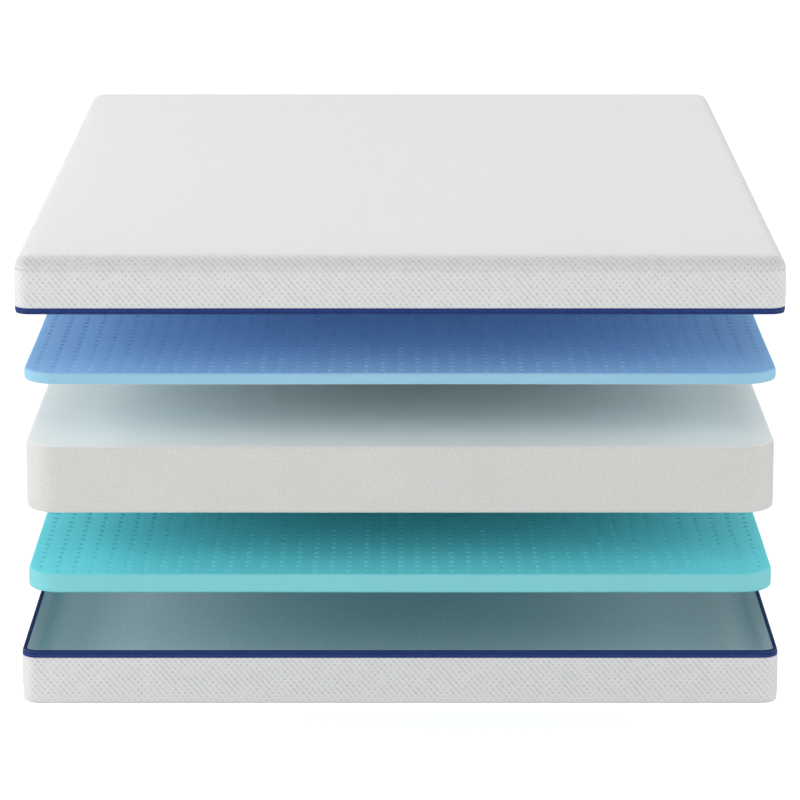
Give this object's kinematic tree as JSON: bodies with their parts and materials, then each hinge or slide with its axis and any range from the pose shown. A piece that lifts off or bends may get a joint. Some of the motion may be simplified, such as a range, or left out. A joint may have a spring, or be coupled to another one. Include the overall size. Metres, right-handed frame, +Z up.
{
  "type": "memory foam mattress",
  "caption": "Foam mattress in a two-part zip-off cover, stored with its foam layers and cover halves lifted apart; sliding them down closes it.",
  "frame": {"origin": "centre of the underside of the base panel, on the floor", "axes": "+Z up, +Y along the bed towards the side that holds the zip's slider, +X across the bed"},
  "size_m": [1.372, 1.9097, 0.8252],
  "materials": {
    "knit": "matte",
    "lining": "matte",
    "wadding": "matte",
    "navy_binding": "matte",
    "navy_tape": "matte",
    "zip_teeth": "satin",
    "zip_metal": "satin",
    "teal_foam": "matte",
    "core_foam": "matte",
    "blue_foam": "matte"
  },
  "bodies": {
    "lower_cover": {"base_panel": "knit", "base_wadding": "wadding", "bottom_lining": "lining", "bottom_border": "knit", "bottom_binding": "navy_binding", "bottom_zip_tape": "navy_tape", "bottom_zip_teeth": "zip_teeth", "bottom_zip_stop": "zip_metal", "zip_retainer_box": "zip_metal"},
    "slider": {"zip_slider": "zip_metal"},
    "pull": {"zip_pull": "zip_metal"},
    "teal_layer": {"teal_foam": "teal_foam"},
    "core_layer": {"core_foam": "core_foam"},
    "blue_layer": {"blue_foam": "blue_foam"},
    "upper_cover": {"top_panel": "knit", "top_wadding": "wadding", "top_lining": "lining", "top_border": "knit", "top_binding": "navy_binding", "top_zip_tape": "navy_tape", "top_zip_teeth": "zip_teeth", "top_zip_stop": "zip_metal", "zip_insert_pin": "zip_metal"}
  },
  "joints": [
    {"name": "teal_layer_lift", "type": "slide", "parent": "lower_cover", "child": "teal_layer", "axis": [0, 0, 1], "range_m": [-0.196, 0]},
    {"name": "core_layer_lift", "type": "slide", "parent": "teal_layer", "child": "core_layer", "axis": [0, 0, 1], "range_m": [-0.1136, 0]},
    {"name": "blue_layer_lift", "type": "slide", "parent": "core_layer", "child": "blue_layer", "axis": [0, 0, 1], "range_m": [-0.1136, 0]},
    {"name": "upper_cover_lift", "type": "slide", "parent": "blue_layer", "child": "upper_cover", "axis": [0, 0, 1], "range_m": [-0.1988, 0]},
    {"name": "zip_slider_run", "type": "slide", "parent": "lower_cover", "child": "slider", "axis": [1, 0, 0], "range_m": [0, 1.08]},
    {"name": "zip_pull_swing", "type": "hinge", "parent": "slider", "child": "pull", "pos_m": [-0.4877, 0.95543, 0.098], "axis": [0, 0, -1], "range_deg": [0, 180]}
  ]
}
